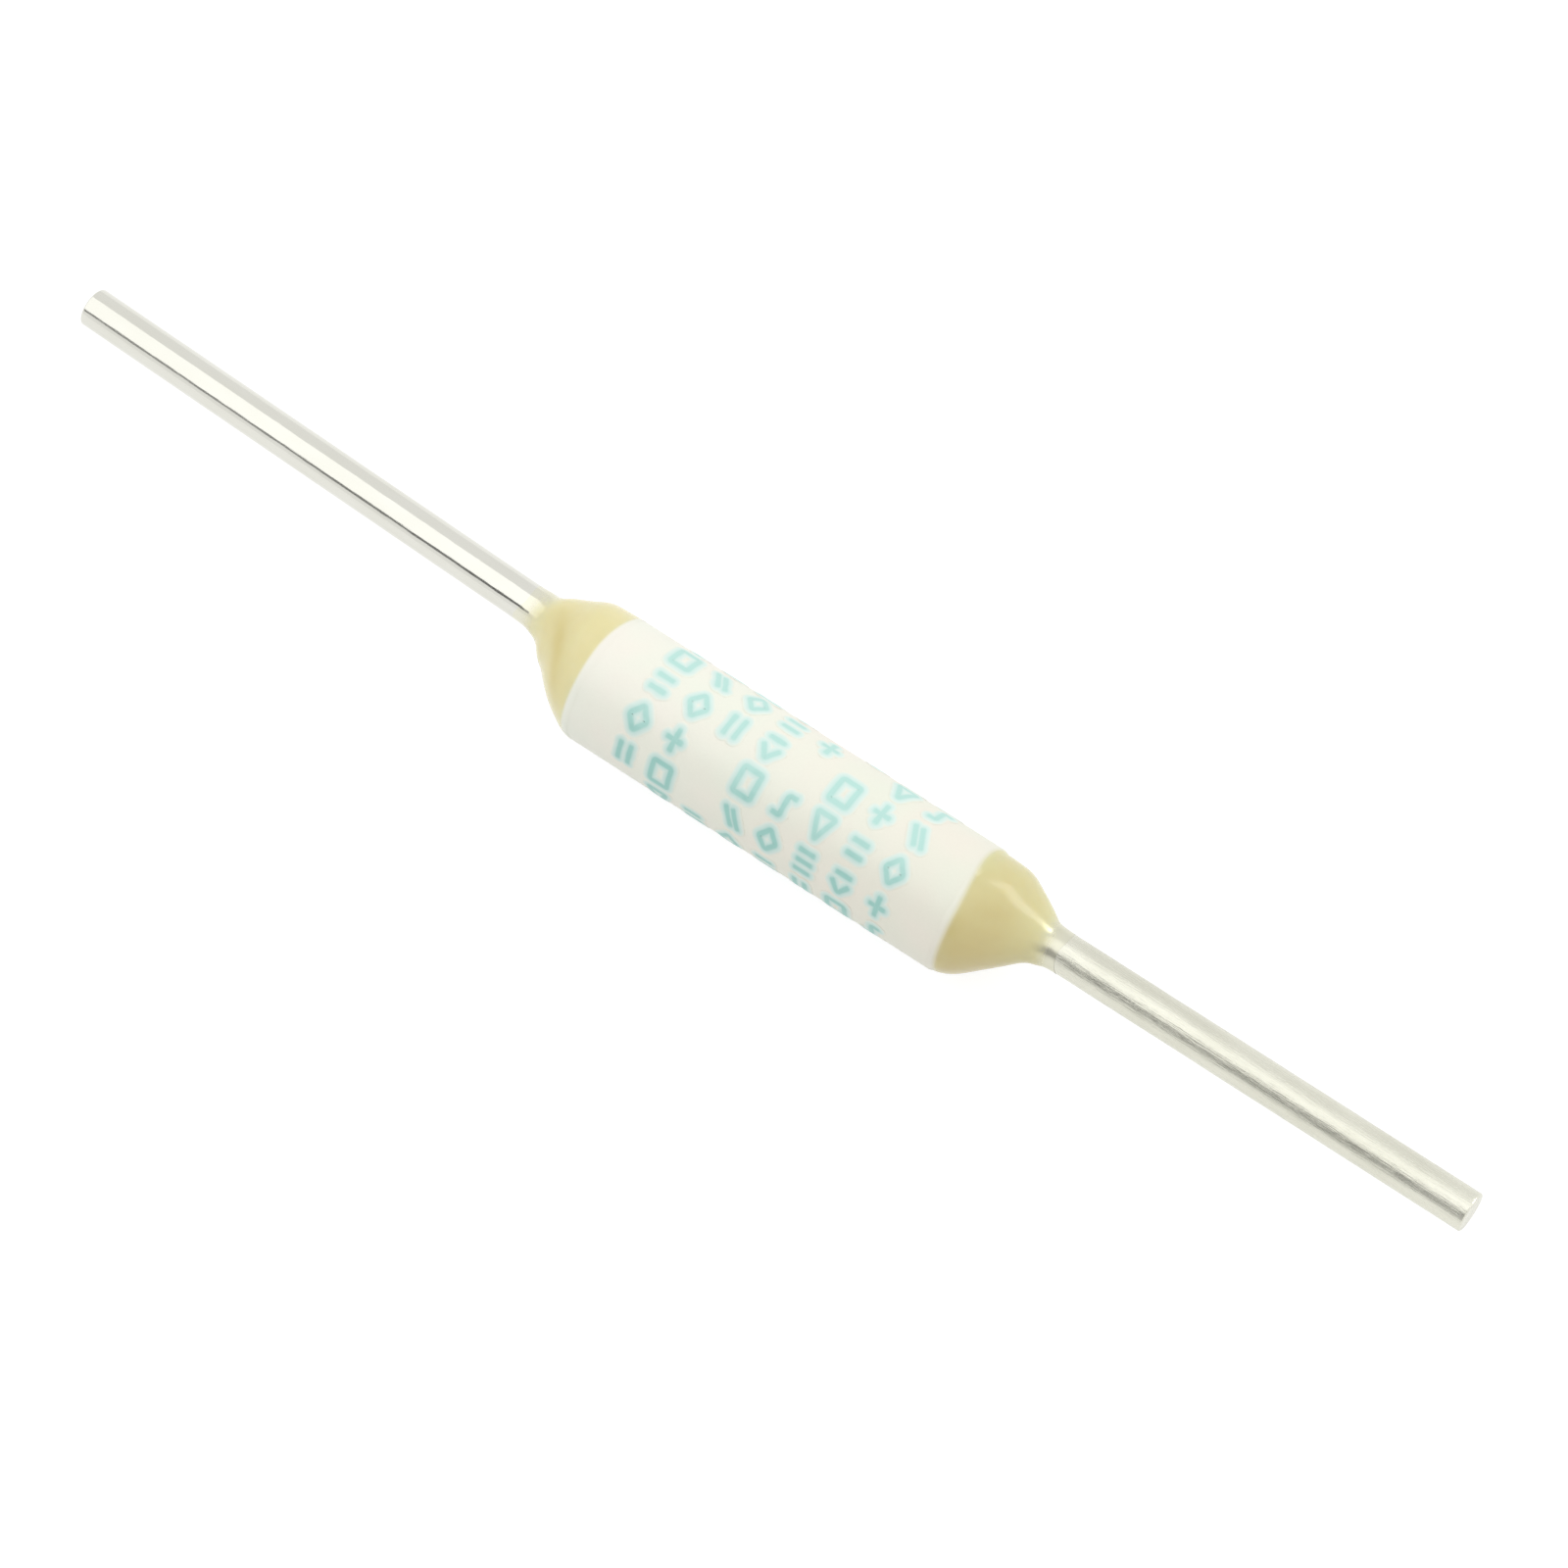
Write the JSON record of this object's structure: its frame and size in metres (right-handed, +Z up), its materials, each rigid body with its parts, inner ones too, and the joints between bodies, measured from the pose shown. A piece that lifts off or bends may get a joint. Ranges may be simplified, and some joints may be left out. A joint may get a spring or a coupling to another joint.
{
  "type": "thermal fuse",
  "caption": "Axial thermal fuse: white ceramic tube with a fusible alloy link and flux inside, resin-sealed ends and two tinned wire leads.",
  "frame": {"origin": "middle of the ceramic tube, on its axis", "axes": "+X along the tube's axis towards the right-hand wire, +Z up, and the wires sit off the tube's axis towards +Y"},
  "size_m": [0.0318, 0.0026, 0.0026],
  "materials": {
    "ceramic": "fired, unglazed",
    "ink": "printed",
    "resin_pale": "poured, glossy",
    "resin_tan": "poured, glossy",
    "tinned_wire": "tinned",
    "fusible_alloy": "cast, dull",
    "flux": "set resin"
  },
  "bodies": {
    "root": {"ceramic_tube": "ceramic", "printed_marks": "ink", "end_seal_left": "resin_pale", "end_seal_right": "resin_tan", "lead_wire_left": "tinned_wire", "lead_wire_right": "tinned_wire", "fusible_alloy": "fusible_alloy", "flux_fill": "flux"}
  },
  "joints": []
}
